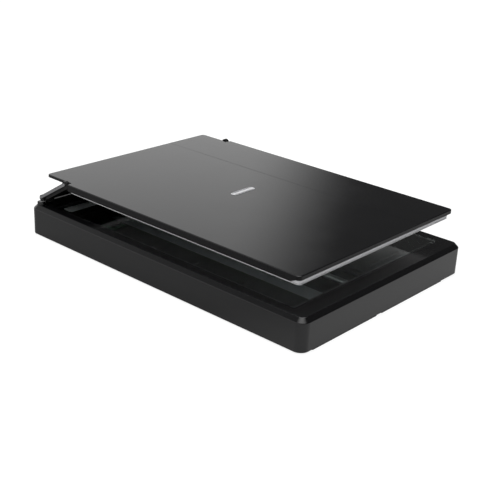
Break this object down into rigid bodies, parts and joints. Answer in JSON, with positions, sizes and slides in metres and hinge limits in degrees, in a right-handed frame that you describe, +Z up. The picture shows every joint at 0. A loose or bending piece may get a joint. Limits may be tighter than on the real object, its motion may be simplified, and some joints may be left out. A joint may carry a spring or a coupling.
{
  "type": "flatbed scanner",
  "caption": "Slim A4 flatbed document scanner with a glass bed and a thin flat lid raised level above it on a rear bridge hinge.",
  "frame": {"origin": "centre of the bounding box on the plane the feet stand on", "axes": "+Z up, -Y towards the front edge where the lid opens, +Y towards the rear hinge, +X to the right seen from the front"},
  "size_m": [0.2508, 0.366, 0.0677],
  "materials": {
    "gloss_shell": "polished black plastic",
    "satin_shell": "fine satin black plastic",
    "matte_black": "moulded matte black plastic",
    "dark_optics": "dark lens rods in resin",
    "white_plastic": "smooth white film",
    "light_guide": "clear moulded acrylic",
    "white_foam": "fine closed-cell foam",
    "rubber": "matte black rubber",
    "glass": "clear float glass",
    "steel": "zinc-plated or ground steel",
    "emblem": "bright silver print",
    "circuit_board": "green solder mask",
    "flat_cable": "white film cable",
    "gear_plastic": "natural acetal"
  },
  "bodies": {
    "base": {"upper_housing": "gloss_shell", "lower_case": "matte_black", "platen_glass": "glass", "calibration_strip": "white_plastic", "case_screw_1": "steel", "case_screw_2": "steel", "case_screw_3": "steel", "case_screw_4": "steel", "case_screw_5": "steel", "case_screw_6": "steel", "front_foot_left": "rubber", "front_foot_right": "rubber", "rear_foot_left": "rubber", "rear_foot_right": "rubber", "main_board": "circuit_board", "usb_socket": "steel", "home_sensor": "matte_black", "flat_cable": "flat_cable", "guide_rod": "steel", "drive_belt": "rubber", "stepper_motor": "steel", "gear_plate": "steel", "idler_bracket": "steel", "tension_spring": "steel"},
    "opening_rod": {"hinge_rod": "steel"},
    "bridge": {"hinge_bridge": "satin_shell", "arm_strip_left": "steel", "arm_strip_right": "steel"},
    "lid": {"lid_panel": "gloss_shell", "foam_pad": "white_foam", "document_mat": "white_plastic", "lid_badge": "emblem", "lid_pin_left": "steel", "lid_pin_right": "steel"},
    "carriage": {"carriage_frame": "matte_black", "sensor_housing": "satin_shell", "lens_array": "dark_optics", "light_guide": "light_guide", "sensor_board": "circuit_board", "sensor_spring_left": "steel", "sensor_spring_right": "steel", "glide_pad_left": "white_plastic", "glide_pad_right": "white_plastic"},
    "drive_wheel": {"drive_pulley": "gear_plastic"},
    "reduction_wheel": {"reduction_gear": "gear_plastic"},
    "pinion": {"motor_pinion": "gear_plastic"},
    "idler_wheel": {"idler_pulley": "gear_plastic"}
  },
  "joints": [
    {"name": "lid_open", "type": "hinge", "parent": "base", "child": "opening_rod", "pos_m": [0, 0.1725, 0.0393], "axis": [-1, 0, 0], "range_deg": [0, 80]},
    {"name": "bridge_lift", "type": "hinge", "parent": "opening_rod", "child": "bridge", "pos_m": [0, 0.1725, 0.0393], "axis": [-1, 0, 0], "range_deg": [-31.4, 0]},
    {"name": "lid_level", "type": "hinge", "parent": "bridge", "child": "lid", "pos_m": [0, 0.13326, 0.0633], "axis": [-1, 0, 0], "range_deg": [0, 31.4]},
    {"name": "carriage_slide", "type": "slide", "parent": "base", "child": "carriage", "axis": [0, -1, 0], "range_m": [0, 0.297]},
    {"name": "drive_wheel_spin", "type": "hinge", "parent": "base", "child": "drive_wheel", "pos_m": [0.03, 0.168, 0.007], "axis": [0, 0, 1], "continuous": true},
    {"name": "idler_wheel_spin", "type": "hinge", "parent": "base", "child": "idler_wheel", "pos_m": [0.03, -0.171, 0.007], "axis": [0, 0, 1], "continuous": true},
    {"name": "reduction_wheel_spin", "type": "hinge", "parent": "base", "child": "reduction_wheel", "pos_m": [0.0423, 0.168, 0.013], "axis": [0, 0, 1], "continuous": true},
    {"name": "pinion_spin", "type": "hinge", "parent": "base", "child": "pinion", "pos_m": [0.0531, 0.168, 0.012], "axis": [0, 0, 1], "continuous": true}
  ],
  "couplings": [
    {"joint": "lid_level", "follows": "bridge_lift", "ratio": -1},
    {"joint": "drive_wheel_spin", "follows": "carriage_slide", "rad_per_m": 169.49},
    {"joint": "idler_wheel_spin", "follows": "carriage_slide", "rad_per_m": 169.49},
    {"joint": "reduction_wheel_spin", "follows": "carriage_slide", "rad_per_m": -395.48},
    {"joint": "pinion_spin", "follows": "carriage_slide", "rad_per_m": 949.15}
  ]
}
